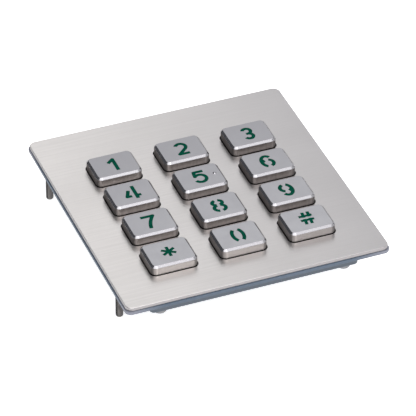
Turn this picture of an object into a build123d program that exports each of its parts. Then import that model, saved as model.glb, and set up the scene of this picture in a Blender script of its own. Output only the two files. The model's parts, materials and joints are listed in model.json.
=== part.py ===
"""Panel-mounted keypad access reader: a steel front plate with twelve backlit keys.

The part lies with its front plate facing +Z. The origin is at the centre of the four
mounting studs, in the plane of the panel that the gasket's rear face rests on.
+Y points to the edge above the 1-2-3 row, and +X to the right as a user reads the keys.
"""
import os

from build123d import *

# ---------------------------------------------------------------- driving sizes (mm)
PLATE_W = 108.0
PLATE_L = 113.6
PLATE_T = 1.5
PLATE_CORNER = 2.8
PLATE_CY = -3.0  # centre of the plate, measured from the centre of the stud pattern
PLATE_EDGE_R = 0.25
PLATE_BACK_R = 0.2

GASKET_T = 1.5
GASKET_LIP = 0.4  # how far the gasket stands out past the plate
GASKET_CORNER = 2.6
GASKET_EDGE_R = 0.25
GASKET_GAP = 0.4  # clearance round the rear cover and the stud collars

STUD_D = 3.0
STUD_L = 17.5
STUD_DX = 100.0
STUD_DY = 80.0
STUD_TIP_R = 0.9
STUD_COLLAR_D = 4.6
STUD_COLLAR_H = 1.0

KEY_PITCH_X = 28.6
KEY_PITCH_Y = 20.0
KEY_FIELD_CY = PLATE_CY - 4.0  # centre of the block of twelve keys
KEY_W = 19.1
KEY_L = 15.2
KEY_CORNER = 2.3
KEY_HEIGHT = 4.0  # top of a key above the plate
KEY_DRAFT = 1.0  # degrees, sides of a key above the plate
KEY_CHAMFER = 0.8
KEY_EDGE_R = 0.2
KEY_GAP = 0.45  # between a key and its cutout
KEY_TRAVEL = 0.5
KEY_ROOF = 1.2  # thickness of a key's top
KEY_WALL = 1.7
FLANGE_T = 0.7
FLANGE_LIP = 1.1  # how far the flange stands out under the plate
FLANGE_GAP = 0.1  # between the flange and the plate at rest

CAP_HEIGHT = 8.2  # height of a digit
DIGIT_STROKE = 1.5
SYMBOL_STROKE = 1.3  # star and hash
FILL_CLEAR = 0.04  # between the legend resin and its slot
FILL_SINK = 0.05  # how far the resin stops below the key's top

PIP_KEY = "5"  # the key with a raised dot to find by touch
PIP_OFFSET = (6.3, 0.3)
PIP_R = 0.75
PIP_HEIGHT = 0.4
PIP_ROOT = 0.3  # how deep the dot is rooted in the key

COVER_W = 86.0
COVER_L = 105.6
COVER_DEPTH = 5.5  # below the panel plane
COVER_CORNER = 2.0
COVER_EDGE_R = 0.4
COVER_WALL = 1.5
COVER_FLOOR = 1.2
SCREW_DX = 76.0
SCREW_DY = 98.0
STANDOFF_D = 5.5
STANDOFF_GAP = 0.2  # relief round a standoff in the cover's walls
SCREW_D = 2.8
SCREW_HEAD_D = 5.6
SCREW_HEAD_H = 2.4
SCREW_HEAD_R = 1.2
SCREW_L = 5.5
SCREW_HOLE_GAP = 0.3  # clearance of the cover's screw holes
BORE_D = 2.9
BORE_DEPTH = 5.0
RECESS_L = 3.2
RECESS_W = 0.8
RECESS_DEPTH = 1.1
RECESS_TAPER = 10

MAT_BASE_Z = -1.2  # the keymat lies on the board here
MAT_SHEET_T = 0.9
MAT_L = 81.0
MAT_CORNER = 2.0
MAT_HUB_TOP = 0.6
MAT_HUB_R = 4.6
MAT_HUB_BASE = -0.2
MAT_WINDOW_R = 2.4
MAT_DOME_R = 6.4
MAT_WEB_T = 0.35
MAT_WEB_RUN = 0.3  # slope of the web where it meets the hub
MAT_FOOT_IN = 0.5  # how far a dome's foot stands inside its hole
MAT_FOOT_OUT = 0.2  # how far it runs into the sheet
MAT_FOOT_TOP = 0.1  # radius step where the web leaves the sheet

CONTACT_OUTER_R = 4.1
CONTACT_INNER_R = 2.6
CONTACT_CLEAR = 0.02  # left between ring and pads with the key fully down
PAD_T = 0.05
PAD_OUTER_R = 4.3
PAD_SLIT = 0.5

BOARD_W = 82.0
BOARD_L = 90.0
BOARD_T = 1.2
BOARD_CORNER = 1.5
PEG_D = 2.9
PEG_FOOT_D = 5.8
PEG_GAP = 0.1  # clearance of a peg in the board
PEG_X = 37.5
PEG_Y = 41.5
PEG_SINK = 0.1  # the pegs stop this far below the board's front
RIB_W = 1.6
RIB_L = 56.0
FRAME_GAP = 0.3  # between the key frame and a flange
FRAME_CORNER = 2.0

CONNECTOR_WAYS = 8
CONNECTOR_PITCH = 2.5
CONNECTOR_W = 22.4
CONNECTOR_L = 5.8
CONNECTOR_H = 7.0
CONNECTOR_WALL = 0.8
CONNECTOR_BASE = 2.0
CONNECTOR_CY = PLATE_CY + 40.5
PIN_SIDE = 0.64
PIN_FIT = 0.02
PIN_HOLE_R = 0.48
PIN_TAIL = 0.8  # how far the pins stand out of the board's front
PIN_RECESS = 1.0  # how far the pins stop inside the header's mouth
PIN_POINT = 0.15
KEYWAY_W = 2.0
KEYWAY_SPACING = 15.4
WINDOW_GAP = 0.7

CHIP_SIDE = 7.0
CHIP_T = 1.0
CHIP_STANDOFF = 0.1
CHIP_CY = PLATE_CY + 16.0
CHIP_BEVEL = 0.15
LEG_REACH = 1.0
LEG_W = 0.37
LEG_H = 0.4
LEG_PITCH = 0.8
LEGS_PER_SIDE = 8

# length, width and height of the small components
RESISTOR_SIZE = (2.0, 1.25, 0.5)
CAPACITOR_SIZE = (1.6, 0.8, 0.8)
CRYSTAL_SIZE = (5.0, 3.2, 0.9)
REGULATOR_SIZE = (4.5, 2.5, 1.1)
LED_SIZE = (2.0, 1.25, 0.4)
LENS_SIZE = (1.4, 1.15, 0.25)
LENS_TAPER = 12
COMPONENT_BEVEL = 0.08

# ---------------------------------------------------------------- levels worked out
PLATE_BACK_Z = GASKET_T
PLATE_TOP_Z = GASKET_T + PLATE_T
KEY_TOP_Z = PLATE_TOP_Z + KEY_HEIGHT
ROOF_Z = KEY_TOP_Z - KEY_ROOF
FLANGE_TOP_Z = PLATE_BACK_Z - FLANGE_GAP
FLANGE_Z = FLANGE_TOP_Z - FLANGE_T
BOARD_Z = MAT_BASE_Z - BOARD_T
COVER_BACK_Z = -COVER_DEPTH
COVER_FLOOR_Z = COVER_BACK_Z + COVER_FLOOR
MAT_TOP_Z = MAT_BASE_Z + MAT_SHEET_T

BOWL_TOP = (CAP_HEIGHT - DIGIT_STROKE) / 2  # middle of a stroke that touches the cap line
STROKE_END = CAP_HEIGHT / 2  # square end of an upright stroke

# key name: column and row from the middle of the block
KEYS = {
    "1": (-1, 1.5),
    "2": (0, 1.5),
    "3": (1, 1.5),
    "4": (-1, 0.5),
    "5": (0, 0.5),
    "6": (1, 0.5),
    "7": (-1, -0.5),
    "8": (0, -0.5),
    "9": (1, -0.5),
    "star": (-1, -1.5),
    "0": (0, -1.5),
    "hash": (1, -1.5),
}
SYMBOLS = ("star", "hash")

os.makedirs("parts", exist_ok=True)


def save(part, name):
    """Label a finished piece and write it as its own STEP file."""
    part.label = name
    export_step(part, f"parts/{name}.step")


def key_point(key):
    """Centre of a key in the row frame."""
    column, row = KEYS[key]
    return column * KEY_PITCH_X, KEY_FIELD_CY + row * KEY_PITCH_Y


def key_plane(key, z):
    """Plane parallel to the plate, centred on a key, at height z."""
    x, y = key_point(key)
    return Plane((x, y, z))


def plate_plane(z):
    """Plane parallel to the plate, centred on the plate, at height z."""
    return Plane((0, PLATE_CY, z))


KEY_POINTS = [key_point(key) for key in KEYS]
RESISTOR_POINTS = [(x + 5.0, y - 3.0) for x, y in KEY_POINTS]
CAPACITOR_POINTS = [(side * 6.5, CHIP_CY + dy) for side in (-1, 1) for dy in (-2.5, 2.5)]
CRYSTAL_POINTS = [(-14.0, CHIP_CY)]
REGULATOR_POINTS = [(22.0, CHIP_CY + 8.0)]

# half section of a keymat dome: hub with a window, sloping web, foot in the sheet
DOME_SECTION = [
    (MAT_WINDOW_R, MAT_HUB_BASE),
    (MAT_HUB_R - MAT_WEB_RUN, MAT_HUB_BASE),
    (MAT_DOME_R - MAT_FOOT_IN, MAT_TOP_Z - MAT_WEB_T),
    (MAT_DOME_R - MAT_FOOT_IN, MAT_BASE_Z),
    (MAT_DOME_R + MAT_FOOT_OUT, MAT_BASE_Z),
    (MAT_DOME_R + MAT_FOOT_OUT, MAT_TOP_Z),
    (MAT_DOME_R - MAT_FOOT_TOP, MAT_TOP_Z),
    (MAT_HUB_R, MAT_HUB_BASE + MAT_WEB_T),
    (MAT_HUB_R, MAT_HUB_TOP),
    (MAT_WINDOW_R, MAT_HUB_TOP),
]


# ---------------------------------------------------------------- legends
# Each function draws the centre lines of one legend about its own middle.
# Rings are broken at the middle, so that no island of metal can fall out.

def line_1():
    Polyline((-2.1, 1.25), (0.45, BOWL_TOP), (0.45, -STROKE_END))


def line_2():
    bow_r = 2.075
    bow = CenterArc((0.05, BOWL_TOP - bow_r), bow_r, 155, -200)
    Polyline(bow @ 1, (-1.9, -BOWL_TOP), (2.35, -BOWL_TOP))


def line_3():
    upper_r = 1.7
    lower_r = BOWL_TOP - upper_r
    waist = BOWL_TOP - 2 * upper_r
    CenterArc((-0.15, waist + upper_r), upper_r, 160, -250)
    CenterArc((-0.15, waist - lower_r), lower_r, 90, -250)
    Line((-0.9, waist), (-0.15, waist))


def line_4():
    bar_y = -2.15
    Polyline((-1.0, 1.65), (-2.65, bar_y), (-0.65, bar_y))
    Line((1.25, STROKE_END), (1.25, -STROKE_END))
    Line((1.25, bar_y), (3.15, bar_y))


def line_5():
    bowl_r = 2.375
    bowl = CenterArc((-0.1, bowl_r - BOWL_TOP), bowl_r, 139, -294)
    Polyline((2.35, BOWL_TOP), (-1.5, BOWL_TOP), bowl @ 0)


def line_6():
    half_width = 2.25
    bowl_ry = 2.15
    bowl_centre = (0, bowl_ry - BOWL_TOP)
    EllipticalCenterArc((0, 0), half_width, BOWL_TOP, 42, arc_size=210)
    EllipticalCenterArc(bowl_centre, half_width, bowl_ry, -70, arc_size=140)
    EllipticalCenterArc(bowl_centre, half_width, bowl_ry, 110, arc_size=42)


def line_7():
    Line((-2.8, BOWL_TOP), (2.3, BOWL_TOP))
    ThreePointArc((2.3, BOWL_TOP), (0.15, -0.2), (-0.95, -STROKE_END))


def line_8():
    waist = 0.35
    upper_ry = (BOWL_TOP - waist) / 2
    lower_ry = (BOWL_TOP + waist) / 2
    for side in (0, 180):
        EllipticalCenterArc((0, waist + upper_ry), 2.05, upper_ry, side - 72, arc_size=144)
        EllipticalCenterArc((0, waist - lower_ry), 2.3, lower_ry, side - 74, arc_size=148)


def line_0():
    for side in (0, 180):
        EllipticalCenterArc((0, 0), 2.15, 3.8, side - 62, arc_size=124)


def line_star():
    for angle in range(30, 390, 60):
        PolarLine((0, 0), 3.0, angle)


def line_hash():
    for bar_y in (1.75, -0.85):
        Line((-2.65, bar_y), (2.85, bar_y))
    for foot_x in (-0.8, 1.4):
        Line((foot_x + 0.47, STROKE_END), (foot_x + 0.1, 0.85))
        Line((foot_x, 0), (foot_x - 0.4, -3.5))


LEGEND_LINES = {
    "1": line_1,
    "2": line_2,
    "3": line_3,
    "4": line_4,
    "5": line_5,
    "6": line_6,
    "7": line_7,
    "8": line_8,
    "9": line_6,  # a 9 is the 6 turned half a turn
    "star": line_star,
    "0": line_0,
    "hash": line_hash,
}


def corner_points(edges):
    """Points where one stroke runs on into the next."""
    ends = [edge @ t for edge in edges for t in (0, 1)]
    return [p for i, p in enumerate(ends) if any((p - q).length < 0.01 for q in ends[:i])]


def legend_sketch(key, slack=0.0):
    """The legend of a key as broad strokes, narrower by the slack where they must fit a slot."""
    width = (SYMBOL_STROKE if key in SYMBOLS else DIGIT_STROKE) - slack
    turn = 180 if key == "9" else 0
    with BuildSketch(Plane.XY.rotated((0, 0, turn))) as legend:
        with BuildLine() as lines:
            LEGEND_LINES[key]()
        for edge in lines.edges():
            trace(edge, line_width=width)
        corners = corner_points(lines.edges())
        if corners:
            with Locations(*corners):
                Circle(width / 2)
    return legend.sketch


# ---------------------------------------------------------------- keys

def make_cap(key):
    """Metal key: drafted block with bevelled top, retaining flange and cut-through legend."""
    with BuildPart() as cap:
        with BuildSketch(key_plane(key, PLATE_TOP_Z)):
            RectangleRounded(KEY_W, KEY_L, KEY_CORNER)
        extrude(amount=KEY_HEIGHT, taper=KEY_DRAFT)
        chamfer(cap.faces().sort_by(Axis.Z)[-1].edges(), length=KEY_CHAMFER)
        upper_edges = cap.edges().filter_by(lambda e: e.center().Z > PLATE_TOP_Z + KEY_HEIGHT / 2)
        bevel_loops = upper_edges.filter_by(lambda e: abs(e.tangent_at(0.5).Z) < 0.01)
        fillet(bevel_loops, radius=KEY_EDGE_R)
        with BuildSketch(key_plane(key, FLANGE_Z)):
            RectangleRounded(KEY_W, KEY_L, KEY_CORNER)
        extrude(amount=PLATE_TOP_Z - FLANGE_Z)
        with BuildSketch(key_plane(key, FLANGE_Z)):
            RectangleRounded(KEY_W + 2 * FLANGE_LIP, KEY_L + 2 * FLANGE_LIP, KEY_CORNER)
        extrude(amount=FLANGE_T)
        with BuildSketch(key_plane(key, FLANGE_Z)):
            RectangleRounded(KEY_W - 2 * KEY_WALL, KEY_L - 2 * KEY_WALL, KEY_CORNER / 2)
        extrude(amount=ROOF_Z - FLANGE_Z, mode=Mode.SUBTRACT)
        with BuildSketch(key_plane(key, ROOF_Z)):
            add(legend_sketch(key))
        extrude(amount=KEY_ROOF, mode=Mode.SUBTRACT)
        if key == PIP_KEY:
            add_pip(key)
    return cap.part


def add_pip(key):
    """Low round dot beside the legend, turned from a circular segment."""
    ball_r = (PIP_R**2 + PIP_HEIGHT**2) / (2 * PIP_HEIGHT)
    x, y = key_point(key)
    centre = (x + PIP_OFFSET[0], y + PIP_OFFSET[1], KEY_TOP_Z)
    with BuildSketch(Plane(centre, x_dir=(1, 0, 0), z_dir=(0, -1, 0))) as section:
        with BuildLine():
            shoulder = (PIP_R / 2, dome_height(PIP_R / 2, ball_r))
            dome = ThreePointArc((0, PIP_HEIGHT), shoulder, (PIP_R, 0))
            Polyline(dome @ 1, (PIP_R, -PIP_ROOT), (0, -PIP_ROOT), dome @ 0)
        make_face()
    revolve(section.sketch, axis=Axis(centre, (0, 0, 1)))


def dome_height(radius, ball_r):
    """Height of the dot's domed top at a distance from its middle."""
    return PIP_HEIGHT - ball_r + (ball_r**2 - radius**2) ** 0.5


def make_legend(key):
    """Green resin light guide whose raised strokes fill the legend slots."""
    slack = 2 * FILL_CLEAR
    guide_w = KEY_W - 2 * KEY_WALL - slack
    guide_l = KEY_L - 2 * KEY_WALL - slack
    with BuildPart() as guide:
        with BuildSketch(key_plane(key, MAT_HUB_TOP + FILL_CLEAR)):
            RectangleRounded(guide_w, guide_l, KEY_CORNER / 2)
        extrude(amount=ROOF_Z - MAT_HUB_TOP - 2 * FILL_CLEAR)
        with BuildSketch(key_plane(key, ROOF_Z - FILL_CLEAR)):
            add(legend_sketch(key, slack))
        extrude(amount=KEY_ROOF - FILL_SINK + FILL_CLEAR)
    return guide.part


def make_contact(key):
    """Carbon ring under the keymat's hub, which bridges the two pads when the key is down."""
    thickness = MAT_HUB_BASE - (MAT_BASE_Z + PAD_T + KEY_TRAVEL + CONTACT_CLEAR)
    with BuildPart() as ring:
        with BuildSketch(key_plane(key, MAT_HUB_BASE - thickness)):
            Circle(CONTACT_OUTER_R)
            Circle(CONTACT_INNER_R, mode=Mode.SUBTRACT)
        extrude(amount=thickness)
    return ring.part


# ---------------------------------------------------------------- plate, gasket, fasteners

def make_front_plate():
    """Stainless plate with softened edges and twelve key cutouts."""
    with BuildPart() as plate:
        with BuildSketch(plate_plane(PLATE_BACK_Z)):
            RectangleRounded(PLATE_W, PLATE_L, PLATE_CORNER)
        extrude(amount=PLATE_T)
        fillet(plate.edges().group_by(Axis.Z)[-1], radius=PLATE_EDGE_R)
        fillet(plate.edges().group_by(Axis.Z)[0], radius=PLATE_BACK_R)
        with BuildSketch(Plane.XY.offset(PLATE_BACK_Z)):
            with Locations(*KEY_POINTS):
                RectangleRounded(KEY_W + 2 * KEY_GAP, KEY_L + 2 * KEY_GAP, KEY_CORNER + KEY_GAP)
        extrude(amount=PLATE_T, mode=Mode.SUBTRACT)
    return plate.part


def make_gasket():
    """Rubber frame between the plate and the panel, open over the rear cover and the studs."""
    outer_w = PLATE_W + 2 * GASKET_LIP
    outer_l = PLATE_L + 2 * GASKET_LIP
    opening_w = COVER_W + 2 * GASKET_GAP
    opening_l = COVER_L + 2 * GASKET_GAP
    with BuildPart() as gasket:
        with BuildSketch(plate_plane(0)):
            RectangleRounded(outer_w, outer_l, GASKET_CORNER)
        extrude(amount=GASKET_T)
        fillet(gasket.edges().group_by(Axis.Z)[-1], radius=GASKET_EDGE_R)
        fillet(gasket.edges().group_by(Axis.Z)[0], radius=GASKET_EDGE_R)
        with BuildSketch(plate_plane(0)):
            RectangleRounded(opening_w, opening_l, COVER_CORNER + GASKET_GAP)
        extrude(amount=GASKET_T, mode=Mode.SUBTRACT)
        with BuildSketch(Plane.XY):
            with GridLocations(STUD_DX, STUD_DY, 2, 2):
                Circle(STUD_COLLAR_D / 2 + GASKET_GAP)
        extrude(amount=GASKET_T, mode=Mode.SUBTRACT)
    return gasket.part


def make_studs():
    """Four welded studs: weld collar under the plate, round shank, domed tip."""
    tip_z = PLATE_BACK_Z - STUD_L
    with BuildPart() as studs:
        with BuildSketch(Plane.XY.offset(PLATE_BACK_Z)):
            with GridLocations(STUD_DX, STUD_DY, 2, 2):
                Circle(STUD_D / 2)
        extrude(amount=-STUD_L)
        fillet(studs.edges().group_by(Axis.Z)[0], radius=STUD_TIP_R)
        with BuildSketch(Plane.XY.offset(PLATE_BACK_Z)):
            with GridLocations(STUD_DX, STUD_DY, 2, 2):
                Circle(STUD_COLLAR_D / 2)
        extrude(amount=-STUD_COLLAR_H)
    return studs.part


def make_standoffs():
    """Four posts welded under the plate, tapped from below for the cover screws."""
    with BuildPart() as posts:
        with BuildSketch(plate_plane(COVER_FLOOR_Z)):
            with GridLocations(SCREW_DX, SCREW_DY, 2, 2):
                Circle(STANDOFF_D / 2)
        extrude(amount=PLATE_BACK_Z - COVER_FLOOR_Z)
        with BuildSketch(plate_plane(COVER_FLOOR_Z)):
            with GridLocations(SCREW_DX, SCREW_DY, 2, 2):
                Circle(BORE_D / 2)
        extrude(amount=BORE_DEPTH, mode=Mode.SUBTRACT)
    return posts.part


def make_cover_screws():
    """Four pan-head screws with cross recesses, heads on the cover's outside."""
    head_face = COVER_BACK_Z - SCREW_HEAD_H
    with BuildPart() as screws:
        with BuildSketch(plate_plane(COVER_BACK_Z)):
            with GridLocations(SCREW_DX, SCREW_DY, 2, 2):
                Circle(SCREW_HEAD_D / 2)
        extrude(amount=-SCREW_HEAD_H)
        fillet(screws.edges().group_by(Axis.Z)[0], radius=SCREW_HEAD_R)
        with BuildSketch(plate_plane(COVER_BACK_Z)):
            with GridLocations(SCREW_DX, SCREW_DY, 2, 2):
                Circle(SCREW_D / 2)
        extrude(amount=SCREW_L)
        with BuildSketch(plate_plane(head_face)):
            with GridLocations(SCREW_DX, SCREW_DY, 2, 2):
                Rectangle(RECESS_L, RECESS_W)
                Rectangle(RECESS_W, RECESS_L)
        extrude(amount=RECESS_DEPTH, taper=RECESS_TAPER, mode=Mode.SUBTRACT)
    return screws.part


# ---------------------------------------------------------------- rear cover

def make_rear_cover():
    """Open moulded box behind the plate, with pillars under the board and a connector window."""
    inner_w = COVER_W - 2 * COVER_WALL
    inner_l = COVER_L - 2 * COVER_WALL
    depth = PLATE_BACK_Z - COVER_BACK_Z
    with BuildPart() as cover:
        with BuildSketch(plate_plane(COVER_BACK_Z)):
            RectangleRounded(COVER_W, COVER_L, COVER_CORNER)
        extrude(amount=depth)
        fillet(cover.edges().group_by(Axis.Z)[0], radius=COVER_EDGE_R)
        with BuildSketch(plate_plane(COVER_FLOOR_Z)):
            RectangleRounded(inner_w, inner_l, COVER_CORNER - COVER_WALL)
            with GridLocations(SCREW_DX, SCREW_DY, 2, 2):
                Circle(STANDOFF_D / 2 + STANDOFF_GAP)
        extrude(amount=depth, mode=Mode.SUBTRACT)
        with BuildSketch(plate_plane(COVER_FLOOR_Z)):
            with GridLocations(2 * PEG_X, 2 * PEG_Y, 2, 2):
                Circle(PEG_FOOT_D / 2)
            with GridLocations(2 * PEG_X, 0, 2, 1):
                Rectangle(RIB_W, RIB_L)
        extrude(amount=BOARD_Z - COVER_FLOOR_Z)
        with BuildSketch(plate_plane(COVER_FLOOR_Z)):
            with GridLocations(2 * PEG_X, 2 * PEG_Y, 2, 2):
                Circle(PEG_D / 2)
        extrude(amount=MAT_BASE_Z - PEG_SINK - COVER_FLOOR_Z)
        with BuildSketch(plate_plane(COVER_BACK_Z)):
            with GridLocations(SCREW_DX, SCREW_DY, 2, 2):
                Circle(SCREW_D / 2 + SCREW_HOLE_GAP)
        extrude(amount=COVER_FLOOR, mode=Mode.SUBTRACT)
        with BuildSketch(Plane((0, CONNECTOR_CY, COVER_BACK_Z))):
            Rectangle(CONNECTOR_W + 2 * WINDOW_GAP, CONNECTOR_L + 2 * WINDOW_GAP)
        extrude(amount=COVER_FLOOR, mode=Mode.SUBTRACT)
    return cover.part


# ---------------------------------------------------------------- switch layers

def make_key_frame():
    """Moulded frame between plate and keymat that clamps the mat and guides the key flanges."""
    opening_w = KEY_W + 2 * FLANGE_LIP + 2 * FRAME_GAP
    opening_l = KEY_L + 2 * FLANGE_LIP + 2 * FRAME_GAP
    with BuildPart() as frame:
        with BuildSketch(Plane((0, KEY_FIELD_CY, MAT_TOP_Z))):
            RectangleRounded(BOARD_W, MAT_L, FRAME_CORNER)
        extrude(amount=PLATE_BACK_Z - MAT_TOP_Z)
        with BuildSketch(Plane.XY.offset(MAT_TOP_Z)):
            with Locations(*KEY_POINTS):
                RectangleRounded(opening_w, opening_l, KEY_CORNER)
        extrude(amount=PLATE_BACK_Z - MAT_TOP_Z, mode=Mode.SUBTRACT)
    return frame.part


def make_keymat():
    """Silicone sheet with a sprung dome and a light window under every key."""
    with BuildPart() as mat:
        with BuildSketch(Plane((0, KEY_FIELD_CY, MAT_BASE_Z))):
            RectangleRounded(BOARD_W, MAT_L, MAT_CORNER)
        extrude(amount=MAT_SHEET_T)
        with BuildSketch(Plane.XY.offset(MAT_BASE_Z)):
            with Locations(*KEY_POINTS):
                Circle(MAT_DOME_R)
        extrude(amount=MAT_SHEET_T, mode=Mode.SUBTRACT)
        for x, y in KEY_POINTS:
            with BuildSketch(Plane((x, y, 0), x_dir=(1, 0, 0), z_dir=(0, -1, 0))):
                Polygon(*DOME_SECTION, align=None)
            revolve(axis=Axis((x, y, 0), (0, 0, 1)))
    return mat.part


def make_board():
    """Printed circuit board with holes for the cover's pegs and the connector pins."""
    with BuildPart() as board:
        with BuildSketch(plate_plane(BOARD_Z)):
            RectangleRounded(BOARD_W, BOARD_L, BOARD_CORNER)
            with GridLocations(2 * PEG_X, 2 * PEG_Y, 2, 2):
                Circle(PEG_D / 2 + PEG_GAP, mode=Mode.SUBTRACT)
        extrude(amount=BOARD_T)
        with BuildSketch(Plane((0, CONNECTOR_CY, BOARD_Z))):
            with GridLocations(CONNECTOR_PITCH, 0, CONNECTOR_WAYS, 1):
                Circle(PIN_HOLE_R)
        extrude(amount=BOARD_T, mode=Mode.SUBTRACT)
    return board.part


def make_contact_pads():
    """Two half-ring pads under each key, a slit apart."""
    with BuildPart() as pads:
        with BuildSketch(Plane.XY.offset(MAT_BASE_Z)):
            with Locations(*KEY_POINTS):
                Circle(PAD_OUTER_R)
                Circle(MAT_WINDOW_R, mode=Mode.SUBTRACT)
                Rectangle(PAD_SLIT, 2 * MAT_HUB_R, mode=Mode.SUBTRACT)
        extrude(amount=PAD_T)
    return pads.part


def make_leds():
    """One surface-mount lamp under the middle of every key: carrier and clear lens."""
    carrier_l, carrier_w, carrier_h = LED_SIZE
    lens_l, lens_w, lens_h = LENS_SIZE
    with BuildPart() as leds:
        with BuildSketch(Plane.XY.offset(MAT_BASE_Z)):
            with Locations(*KEY_POINTS):
                Rectangle(carrier_l, carrier_w)
        extrude(amount=carrier_h)
        with BuildSketch(Plane.XY.offset(MAT_BASE_Z + carrier_h)):
            with Locations(*KEY_POINTS):
                Rectangle(lens_l, lens_w)
        extrude(amount=lens_h, taper=LENS_TAPER)
    return leds.part


# ---------------------------------------------------------------- rear side of the board

def make_components(points, size):
    """Small rectangular components soldered to the rear of the board."""
    length, width, height = size
    with BuildPart() as chips:
        with BuildSketch(Plane.XY.offset(BOARD_Z)):
            with Locations(*points):
                Rectangle(length, width)
        extrude(amount=-height)
        chamfer(chips.edges().group_by(Axis.Z)[0], length=COMPONENT_BEVEL)
    return chips.part


def make_controller():
    """Flat square controller chip with gull-wing legs on four sides."""
    with BuildPart() as chip:
        with BuildSketch(Plane((0, CHIP_CY, BOARD_Z - CHIP_STANDOFF))):
            Rectangle(CHIP_SIDE, CHIP_SIDE)
        extrude(amount=-CHIP_T)
        chamfer(chip.edges().group_by(Axis.Z)[0], length=CHIP_BEVEL)
        for turn in range(0, 360, 90):
            with BuildSketch(Plane((0, CHIP_CY, BOARD_Z - LEG_H)).rotated((0, 0, turn))):
                with Locations((CHIP_SIDE / 2 + LEG_REACH / 2, 0)):
                    with GridLocations(0, LEG_PITCH, 1, LEGS_PER_SIDE):
                        Rectangle(LEG_REACH, LEG_W)
            extrude(amount=LEG_H)
    return chip.part


def make_connector_housing():
    """Open nylon header: a narrow tray with a thick base that holds the pins."""
    cavity_w = CONNECTOR_W - 2 * CONNECTOR_WALL
    cavity_l = CONNECTOR_L - 2 * CONNECTOR_WALL
    with BuildPart() as shell:
        with BuildSketch(Plane((0, CONNECTOR_CY, BOARD_Z))):
            Rectangle(CONNECTOR_W, CONNECTOR_L)
        extrude(amount=-CONNECTOR_H)
        with BuildSketch(Plane((0, CONNECTOR_CY, BOARD_Z - CONNECTOR_BASE))):
            Rectangle(cavity_w, cavity_l)
        extrude(amount=-CONNECTOR_H, mode=Mode.SUBTRACT)
        with BuildSketch(Plane((0, CONNECTOR_CY, BOARD_Z))):
            with GridLocations(CONNECTOR_PITCH, 0, CONNECTOR_WAYS, 1):
                Rectangle(PIN_SIDE + PIN_FIT, PIN_SIDE + PIN_FIT)
        extrude(amount=-CONNECTOR_BASE, mode=Mode.SUBTRACT)
        with BuildSketch(Plane((0, CONNECTOR_CY - CONNECTOR_L / 2, BOARD_Z - CONNECTOR_H))):
            with GridLocations(KEYWAY_SPACING, 0, 2, 1):
                Rectangle(KEYWAY_W, 2.5 * CONNECTOR_WALL)
        extrude(amount=CONNECTOR_H - CONNECTOR_BASE, mode=Mode.SUBTRACT)
    return shell.part


def make_connector_pins():
    """Square pins through the header's base and the board."""
    with BuildPart() as pins:
        with BuildSketch(Plane((0, CONNECTOR_CY, MAT_BASE_Z + PIN_TAIL))):
            with GridLocations(CONNECTOR_PITCH, 0, CONNECTOR_WAYS, 1):
                Rectangle(PIN_SIDE, PIN_SIDE)
        extrude(amount=-(PIN_TAIL + BOARD_T + CONNECTOR_H - PIN_RECESS))
        chamfer(pins.faces().group_by(Axis.Z)[0].edges(), length=PIN_POINT)
    return pins.part


# ---------------------------------------------------------------- write every piece
for key_name in KEYS:
    save(make_cap(key_name), f"key_{key_name}_cap")
    save(make_legend(key_name), f"key_{key_name}_legend")
    save(make_contact(key_name), f"key_{key_name}_contact")

save(make_front_plate(), "front_plate")
save(make_gasket(), "panel_gasket")
save(make_studs(), "mounting_studs")
save(make_standoffs(), "cover_standoffs")
save(make_cover_screws(), "cover_screws")
save(make_rear_cover(), "rear_cover")
save(make_key_frame(), "key_frame")
save(make_keymat(), "keymat")
save(make_board(), "circuit_board")
save(make_contact_pads(), "contact_pads")
save(make_leds(), "backlight_leds")
save(make_components(RESISTOR_POINTS, RESISTOR_SIZE), "led_resistors")
save(make_components(CAPACITOR_POINTS, CAPACITOR_SIZE), "capacitors")
save(make_components(CRYSTAL_POINTS, CRYSTAL_SIZE), "crystal")
save(make_components(REGULATOR_POINTS, REGULATOR_SIZE), "voltage_regulator")
save(make_controller(), "controller_chip")
save(make_connector_housing(), "connector_housing")
save(make_connector_pins(), "connector_pins")
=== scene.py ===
"""Looks for the keypad access reader: procedural materials, studio and camera.

Everything is in metres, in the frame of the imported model: +Z out of the front plate,
+Y towards the edge above the 1-2-3 row. Colours are linear.

Some light and shade is painted into the base colours, by place or by the way a face
points, so it holds from every side. Each material that does so says what is painted.
"""

import json
import math

import bpy
from mathutils import Matrix, Vector


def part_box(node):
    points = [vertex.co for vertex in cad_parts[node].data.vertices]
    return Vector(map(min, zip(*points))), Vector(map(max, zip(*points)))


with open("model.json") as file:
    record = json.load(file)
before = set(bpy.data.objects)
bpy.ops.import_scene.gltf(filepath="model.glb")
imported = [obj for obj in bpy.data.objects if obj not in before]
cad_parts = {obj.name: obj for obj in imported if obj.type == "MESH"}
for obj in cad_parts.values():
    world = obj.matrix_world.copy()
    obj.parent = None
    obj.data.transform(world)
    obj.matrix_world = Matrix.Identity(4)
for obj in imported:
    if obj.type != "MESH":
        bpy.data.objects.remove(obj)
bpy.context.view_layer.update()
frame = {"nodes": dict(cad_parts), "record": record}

MM = 0.001

# places on the part
PLATE_LOW, PLATE_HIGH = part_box("front_plate")
PLATE_TOP = PLATE_HIGH.z
PLATE_CENTRE = (PLATE_LOW + PLATE_HIGH) / 2
STUD_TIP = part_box("mounting_studs")[0].z
HOLES_WITHIN_X, HOLES_WITHIN_Y = 50 * MM, 52 * MM
HOLES_BLUR = 0.5 * MM
PALE_CORNER_X, PALE_CORNER_Y = 45 * MM, 49 * MM
PALE_CORNER_BLUR = 6 * MM
PLATE_FADE_HALF = 60 * MM
KEYS_FRONT_Y, KEYS_BACK_Y = -40 * MM, 35 * MM
FRONT_ROW_Y, SECOND_ROW_Y = -38 * MM, -28 * MM
KEY_SHADOW = 0.25 * MM
THREAD_PITCH = 0.5 * MM
THREAD_DEPTH = 0.25 * MM

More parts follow.
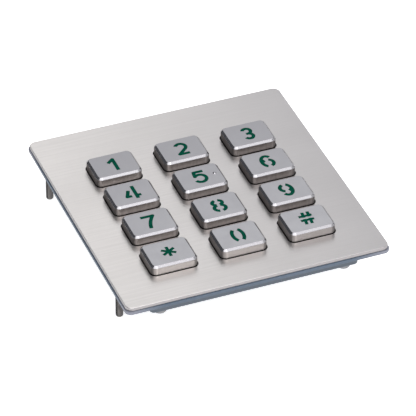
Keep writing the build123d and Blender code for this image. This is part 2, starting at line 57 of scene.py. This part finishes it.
# a wave texture of scale 1 repeats at this distance
WAVE_UNIT = math.tau / 20
WEAVE_PITCH = WAVE_UNIT / 900

# the sockets of a Mix node that it uses for colours
MIX_FACTOR, MIX_FIRST, MIX_SECOND, MIX_RESULT = 0, 6, 7, 2

# the stretch of a noise's range that holds most of its values, and two tighter ones
SPAN = (0.3, 0.7)
UPPER_SPAN = (0.35, 0.7)
NARROW_SPAN = (0.35, 0.65)

# camera, floor and the dim grey all round
CAMERA_AZIMUTH = math.radians(21.85)
CAMERA_ELEVATION = math.radians(37.27)
CAMERA_ROLL = math.radians(0.41)
CAMERA_DISTANCE = 1.32685
CAMERA_LENS = 294.05
AIM_FROM_PLATE_CENTRE = Vector((-2.54 * MM, -9.10 * MM, 0))
FLOOR_HALF = 3.0
FLOOR_GLOW = 0.8
AMBIENT = (0.095, 0.098, 0.105)

# name, direction from the plate, distance, (width, height), watts
SOFTBOXES = (
    ("high_right", (0.27, 0.0, 1.0), 1.9, (1.8, 1.9), 14),
    ("back_right", (0.34, 0.76, 0.58), 1.8, (1.3, 1.0), 3.7),
    ("right", (0.88, -0.18, 0.44), 1.8, (1.9, 0.9), 3.2),
    ("front", (0.3, -0.62, 0.74), 1.6, (1.0, 0.7), 2.7),
    ("front_low", (-0.28, -0.70, 0.33), 2.0, (2.4, 1.1), 13),
    ("by_camera", (-0.25, -0.45, 0.85), 2.2, (2.2, 1.6), 19),
)


# ---------------------------------------------------------------- node helpers

class Shader:
    """A node material. Colour and roughness hold until outputs are linked over them."""

    def __init__(self, name, colour, roughness, metallic=0.0, **constants):
        self.material = bpy.data.materials.new(name)
        self.material.use_nodes = True
        self.tree = self.material.node_tree
        self.shader = self.tree.nodes["Principled BSDF"]
        self.shader.inputs["Base Color"].default_value = (*colour, 1)
        self.shader.inputs["Roughness"].default_value = roughness
        self.shader.inputs["Metallic"].default_value = metallic
        for socket, value in constants.items():
            self.shader.inputs[socket.replace("_", " ")].default_value = value
        self.place = self.tree.nodes.new("ShaderNodeTexCoord").outputs["Object"]

    def node(self, kind, **settings):
        """A new node; settings that name a socket fill it, and the others are properties."""
        made = self.tree.nodes.new("ShaderNode" + kind)
        for key, value in settings.items():
            if key in made.inputs:
                self.feed(made.inputs[key], value)
            else:
                setattr(made, key, value)
        return made

    def feed(self, socket, value):
        """Links an output to a socket, or sets the socket's own value."""
        if isinstance(value, bpy.types.NodeSocket):
            self.tree.links.new(value, socket)
        else:
            socket.default_value = value

    def noise(self, scale, stretch=(1, 1, 1), detail=3.0):
        """Noise from 0 to 1 with scale waves per metre, stretched along the axes."""
        mapping = self.node("Mapping", Vector=self.place, Scale=[scale * s for s in stretch])
        noise = self.node("TexNoise", Vector=mapping.outputs["Vector"], Scale=1.0, Detail=detail)
        return noise.outputs["Fac"]

    def wave(self, period, **settings):
        """Bands from 0 to 1 that repeat after a distance."""
        return self.node("TexWave", Vector=self.place, Scale=WAVE_UNIT / period, **settings).outputs["Fac"]

    def remap(self, value, low, high, to_low=0.0, to_high=1.0):
        """Value from low..high carried to to_low..to_high and held there outside."""
        remap = self.node("MapRange")
        self.feed(remap.inputs["Value"], value)
        limits = {"From Min": low, "From Max": high, "To Min": to_low, "To Max": to_high}
        for socket, number in limits.items():
            remap.inputs[socket].default_value = number
        return remap.outputs["Result"]

    def mix(self, factor, first, second):
        """Colour between two colours by a factor output."""
        mix = self.node("Mix", data_type="RGBA")
        self.feed(mix.inputs[MIX_FACTOR], factor)
        for index, colour in ((MIX_FIRST, first), (MIX_SECOND, second)):
            self.feed(mix.inputs[index], (*colour, 1) if isinstance(colour, tuple) else colour)
        return mix.outputs[MIX_RESULT]

    def calc(self, operation, first, second=0.0):
        """One maths operation on two numbers or outputs."""
        node = self.node("Math", operation=operation)
        self.feed(node.inputs[0], first)
        self.feed(node.inputs[1], second)
        return node.outputs[0]

    def bump(self, height, strength, distance, below=None):
        """Bump from a height output, on top of another bump if one is given."""
        bump = self.node("Bump", Height=height, Strength=strength, Distance=distance)
        if below is not None:
            self.feed(bump.inputs["Normal"], below)
        self.feed(self.shader.inputs["Normal"], bump.outputs["Normal"])
        return bump.outputs["Normal"]

    def colour(self, output):
        self.feed(self.shader.inputs["Base Color"], output)

    def roughness(self, output):
        self.feed(self.shader.inputs["Roughness"], output)


def normal_axis(shader, axis):
    """The surface normal's X, Y or Z part."""
    geometry = shader.node("NewGeometry")
    split = shader.node("SeparateXYZ", Vector=geometry.outputs["Normal"])
    return split.outputs[axis]


def place_axis(shader, axis):
    """The X, Y or Z position on the part, in metres."""
    split = shader.node("SeparateXYZ", Vector=shader.place)
    return split.outputs[axis]


def near_middle(shader, axis, middle, half, blur):
    """1 where a point lies within half of the middle along an axis, 0 outside."""
    distance = shader.calc("ABSOLUTE", shader.calc("SUBTRACT", place_axis(shader, axis), middle))
    return shader.remap(distance, half - blur, half + blur, 1.0, 0.0)


# ---------------------------------------------------------------- metals

def brushed_plate():
    """Stainless sheet brushed along X.

    Painted: a fade to grey at its right, darker outer edges and near-black key hole walls.
    """
    dark_grain, light_grain = (0.825, 0.793, 0.772), (0.925, 0.893, 0.872)
    haze, right_end = (0.86, 0.83, 0.81), (0.465, 0.453, 0.468)
    outer_edge, hole_wall = (0.34, 0.325, 0.33), (0.012, 0.011, 0.011)
    s = Shader("brushed_plate", haze, 0.34, 1.0)
    hairs = s.noise(3400, (0.015, 1, 1), 3)
    grain = s.noise(1500, (0.02, 1, 1), 4)
    cloud = s.noise(38, (0.5, 1, 1), 3)
    tone = s.mix(s.remap(grain, *SPAN), dark_grain, light_grain)
    tone = s.mix(s.remap(cloud, *UPPER_SPAN, 0.0, 0.3), tone, haze)
    rightward = s.remap(place_axis(s, "X"), -PLATE_FADE_HALF, PLATE_FADE_HALF, 0.0, 0.77)
    tone = s.mix(rightward, tone, right_end)
    across = near_middle(s, "X", PLATE_CENTRE.x, HOLES_WITHIN_X, HOLES_BLUR)
    along = near_middle(s, "Y", PLATE_CENTRE.y, HOLES_WITHIN_Y, HOLES_BLUR)
    edge = s.mix(s.calc("MULTIPLY", across, along), outer_edge, hole_wall)
    flat = s.remap(normal_axis(s, "Z"), 0.35, 0.75)
    s.colour(s.mix(flat, edge, tone))
    s.roughness(s.calc("ADD", s.remap(grain, *SPAN, 0.28, 0.36), s.remap(cloud, *SPAN, 0.0, 0.05)))
    s.bump(hairs, 1.0, 0.02 * MM, s.bump(grain, 0.15, 0.02 * MM))
    return s.material


def key_side(s):
    """Colour of a key's brownish sides.

    Painted: lighter on the front row, darker round the corners, near black next to the plate.
    """
    dark_drawn, light_drawn = (0.35, 0.316, 0.305), (0.44, 0.40, 0.385)
    front_row, corner, shade = (0.66, 0.62, 0.60), (0.05, 0.047, 0.047), (0.012, 0.011, 0.011)
    drawn = s.noise(1400, (1, 1, 0.1), 3)
    side = s.mix(s.remap(drawn, *SPAN), dark_drawn, light_drawn)
    side = s.mix(s.remap(place_axis(s, "Y"), FRONT_ROW_Y, SECOND_ROW_Y, 0.7, 0.0), side, front_row)
    turned = s.calc("ABSOLUTE", s.calc("MULTIPLY", normal_axis(s, "X"), normal_axis(s, "Y")))
    side = s.mix(s.remap(turned, 0.12, 0.35, 0.0, 0.45), side, corner)
    return s.mix(s.remap(place_axis(s, "Z"), PLATE_TOP, PLATE_TOP + KEY_SHADOW), shade, side)


def satin_key():
    """Satin key face with smoother bevels and dull sides. Painted: faces darker to the back."""
    dark_patch, light_patch = (0.500, 0.497, 0.523), (0.540, 0.537, 0.563)
    back_row, bevel = (0.405, 0.400, 0.425), (0.51, 0.50, 0.525)
    s = Shader("satin_key", bevel, 0.34, 1.0)
    fine = s.noise(5200, detail=2)
    patch = s.noise(160)
    lift = normal_axis(s, "Z")
    face = s.remap(lift, 0.93, 0.995)
    above = s.remap(lift, 0.2, 0.5)
    tone = s.mix(s.remap(patch, *NARROW_SPAN), dark_patch, light_patch)
    tone = s.mix(s.remap(place_axis(s, "Y"), KEYS_FRONT_Y, KEYS_BACK_Y, 0.0, 0.9), tone, back_row)
    s.colour(s.mix(above, key_side(s), s.mix(face, bevel, tone)))
    polish = s.calc("SUBTRACT", s.remap(face, 0, 1, 0.36, 0.46), s.remap(above, 0, 1, 0.0, 0.16))
    s.roughness(s.calc("ADD", polish, s.remap(fine, *SPAN, 0.0, 0.06)))
    s.bump(fine, 0.25, 0.01 * MM)
    return s.material


def dark_steel():
    """Dark threaded steel of the studs. Painted: near black except where it faces along Y."""
    dark_stain, light_stain, shade = (0.14, 0.13, 0.126), (0.28, 0.262, 0.25), (0.045, 0.042, 0.042)
    s = Shader("dark_steel", dark_stain, 0.38, 1.0)
    stain = s.noise(420, (1, 1, 0.5), 4)
    along_y = s.remap(s.calc("ABSOLUTE", normal_axis(s, "Y")), 0.5, 0.8)
    s.colour(s.mix(along_y, shade, s.mix(s.remap(stain, *UPPER_SPAN), dark_stain, light_stain)))
    s.roughness(s.remap(stain, *SPAN, 0.28, 0.5))
    pits = s.bump(s.noise(3000), 0.2, 0.01 * MM)
    s.bump(s.wave(THREAD_PITCH, bands_direction="Z"), 1.0, THREAD_DEPTH, pits)
    return s.material


def plated_steel():
    """Zinc-plated screws, slightly cloudy."""
    dull, bright = (0.18, 0.185, 0.20), (0.27, 0.27, 0.275)
    s = Shader("plated_steel", bright, 0.4, 1.0)
    cloud = s.noise(700, detail=4)
    s.colour(s.mix(s.remap(cloud, *SPAN), dull, bright))
    s.roughness(s.remap(cloud, *SPAN, 0.32, 0.5))
    s.bump(cloud, 0.15, 0.02 * MM)
    return s.material


def bright_metal(name, light, dark):
    """Thin bright plating on small parts, mottled between two tones."""
    s = Shader(name, light, 0.25, 1.0)
    mottle = s.noise(1500)
    s.colour(s.mix(s.remap(mottle, *NARROW_SPAN), dark, light))
    s.roughness(s.remap(mottle, *SPAN, 0.18, 0.36))
    return s.material


# ---------------------------------------------------------------- rubber, resin and plastic

def legend_green():
    """Dark green resin, a little uneven in depth, with almost no sheen."""
    deep, shallow = (0.0, 0.060, 0.036), (0.0, 0.083, 0.050)
    s = Shader("legend_green", shallow, 0.5, 0.0, Specular_IOR_Level=0.02)
    depth = s.noise(900)
    s.colour(s.mix(s.remap(depth, *NARROW_SPAN), deep, shallow))
    s.roughness(s.remap(depth, *SPAN, 0.42, 0.56))
    return s.material


def moulded(name, low, high, roughness, depth=0.02 * MM):
    """Moulded plastic or rubber: fine spark-eroded grain with faint flow marks."""
    s = Shader(name, low, roughness)
    texture = s.noise(2600, detail=2)
    flow = s.noise(60, (0.4, 1, 1))
    s.colour(s.mix(s.remap(flow, *SPAN), low, high))
    streaks = s.remap(flow, *SPAN, roughness - 0.06, roughness + 0.04)
    s.roughness(s.calc("ADD", streaks, s.remap(texture, *SPAN, 0.0, 0.08)))
    s.bump(texture, 0.3, depth)
    return s.material


def gasket_rubber():
    """Blue-grey rubber. Painted: paler at all four corners."""
    dark_middle, light_middle = (0.084, 0.114, 0.155), (0.103, 0.132, 0.178)
    dark_corner, light_corner = (0.205, 0.214, 0.260), (0.240, 0.244, 0.290)
    s = Shader("gasket_rubber", light_middle, 0.5, Specular_IOR_Level=0.3)
    flow = s.remap(s.noise(70, (0.4, 1, 1)), *SPAN)
    texture = s.noise(2600, detail=2)
    middle = s.mix(flow, dark_middle, light_middle)
    corners = s.mix(flow, dark_corner, light_corner)
    across = near_middle(s, "X", PLATE_CENTRE.x, PALE_CORNER_X, PALE_CORNER_BLUR)
    along = near_middle(s, "Y", PLATE_CENTRE.y, PALE_CORNER_Y, PALE_CORNER_BLUR)
    s.colour(s.mix(s.calc("MAXIMUM", across, along), corners, middle))
    s.roughness(s.remap(texture, *SPAN, 0.44, 0.56))
    s.bump(texture, 0.3, 0.02 * MM)
    return s.material


def solder_mask():
    """Green board with a faint weave in its gloss and patches of copper under the mask."""
    bare, over_copper = (0.008, 0.085, 0.03), (0.015, 0.15, 0.05)
    s = Shader("solder_mask", bare, 0.3)
    weave = s.wave(WEAVE_PITCH, Distortion=0.4, Detail=1.0)
    copper = s.remap(s.noise(220, (1, 0.15, 1), 1), 0.52, 0.56)
    s.colour(s.mix(copper, bare, over_copper))
    s.roughness(s.remap(weave, 0, 1, 0.25, 0.36))
    s.bump(copper, 0.4, 0.03 * MM)
    return s.material


MATERIALS = {
    "brushed_plate": brushed_plate(),
    "satin_key": satin_key(),
    "stud_steel": dark_steel(),
    "screw_steel": plated_steel(),
    "legend_green": legend_green(),
    "carbon": moulded("carbon", (0.012, 0.012, 0.012), (0.02, 0.02, 0.02), 0.7),
    "gasket_rubber": gasket_rubber(),
    "cover_plastic": moulded("cover_plastic", (0.070, 0.089, 0.114), (0.083, 0.103, 0.130), 0.48),
    "frame_plastic": moulded("frame_plastic", (0.015, 0.015, 0.017), (0.025, 0.025, 0.028), 0.5),
    "silicone": moulded("silicone", (0.55, 0.58, 0.55), (0.66, 0.68, 0.66), 0.5, depth=0.01 * MM),
    "board_green": solder_mask(),
    "gold_pads": bright_metal("gold_pads", (0.85, 0.58, 0.20), (0.70, 0.45, 0.14)),
    "led_resin": moulded("led_resin", (0.75, 0.75, 0.62), (0.82, 0.82, 0.70), 0.25),
    "chip_black": moulded("chip_black", (0.015, 0.015, 0.016), (0.025, 0.025, 0.027), 0.45),
    "chip_tan": moulded("chip_tan", (0.26, 0.16, 0.08), (0.34, 0.22, 0.12), 0.4),
    "crystal_can": bright_metal("crystal_can", (0.66, 0.66, 0.68), (0.52, 0.52, 0.54)),
    "nylon_white": moulded("nylon_white", (0.66, 0.64, 0.55), (0.74, 0.72, 0.63), 0.45),
    "pin_tin": bright_metal("pin_tin", (0.72, 0.72, 0.72), (0.58, 0.58, 0.58)),
}


def dress_cad_nodes():
    """Gives every CAD node the material of its slot in the record."""
    for entry in frame["record"]["subparts"]:
        mesh = frame["nodes"][entry["node"]].data
        mesh.materials.clear()
        mesh.materials.append(MATERIALS[entry["material_slot"]])


# ---------------------------------------------------------------- studio

def make_floor():
    """Pale floor level with the stud tips. Its own glow lifts it past white and hides shadows."""
    mesh = bpy.data.meshes.new("studio_floor")
    corners = [(-1, -1), (1, -1), (1, 1), (-1, 1)]
    mesh.from_pydata([(x * FLOOR_HALF, y * FLOOR_HALF, STUD_TIP) for x, y in corners], [], [(0, 1, 2, 3)])
    floor = bpy.data.objects.new("studio_floor", mesh)
    bpy.context.scene.collection.objects.link(floor)
    dark_paper, light_paper = (0.88, 0.88, 0.88), (0.92, 0.92, 0.92)
    s = Shader("studio_floor", dark_paper, 0.9, Specular_IOR_Level=0.1,
               Emission_Color=(1, 1, 1, 1), Emission_Strength=FLOOR_GLOW)
    s.colour(s.mix(s.noise(3, detail=2), dark_paper, light_paper))
    mesh.materials.append(s.material)


def add_softbox(name, direction, distance, size, watts):
    """Area light in a direction from the plate, turned to face it."""
    light = bpy.data.lights.new(name, "AREA")
    light.shape = "RECTANGLE"
    light.size, light.size_y = size
    light.energy = watts
    lamp = bpy.data.objects.new(name, light)
    lamp.location = PLATE_CENTRE + Vector(direction).normalized() * distance
    lamp.rotation_euler = (-Vector(direction)).to_track_quat("-Z", "Y").to_euler()
    bpy.context.scene.collection.objects.link(lamp)


def light_studio():
    """Strong lights overhead, by the camera and low in front, and three weaker ones around."""
    world = bpy.data.worlds.new("studio")
    world.use_nodes = True
    world.node_tree.nodes["Background"].inputs["Color"].default_value = (*AMBIENT, 1)
    bpy.context.scene.world = world
    for softbox in SOFTBOXES:
        add_softbox(*softbox)


def add_camera():
    """Camera at the reference viewing angle, aimed near the plate's middle."""
    aim = Vector((0, PLATE_CENTRE.y, PLATE_TOP)) + AIM_FROM_PLATE_CENTRE
    level = math.cos(CAMERA_ELEVATION)
    forward = Vector((math.sin(CAMERA_AZIMUTH) * level,
                      math.cos(CAMERA_AZIMUTH) * level,
                      -math.sin(CAMERA_ELEVATION)))
    turn = forward.to_track_quat("-Z", "Y").to_matrix() @ Matrix.Rotation(CAMERA_ROLL, 3, "Z")
    camera = bpy.data.objects.new("camera", bpy.data.cameras.new("camera"))
    camera.data.lens = CAMERA_LENS
    camera.matrix_world = Matrix.Translation(aim - forward * CAMERA_DISTANCE) @ turn.to_4x4()
    bpy.context.scene.collection.objects.link(camera)
    bpy.context.scene.camera = camera


dress_cad_nodes()
make_floor()
light_studio()
add_camera()
bpy.context.scene.view_settings.view_transform = "Standard"
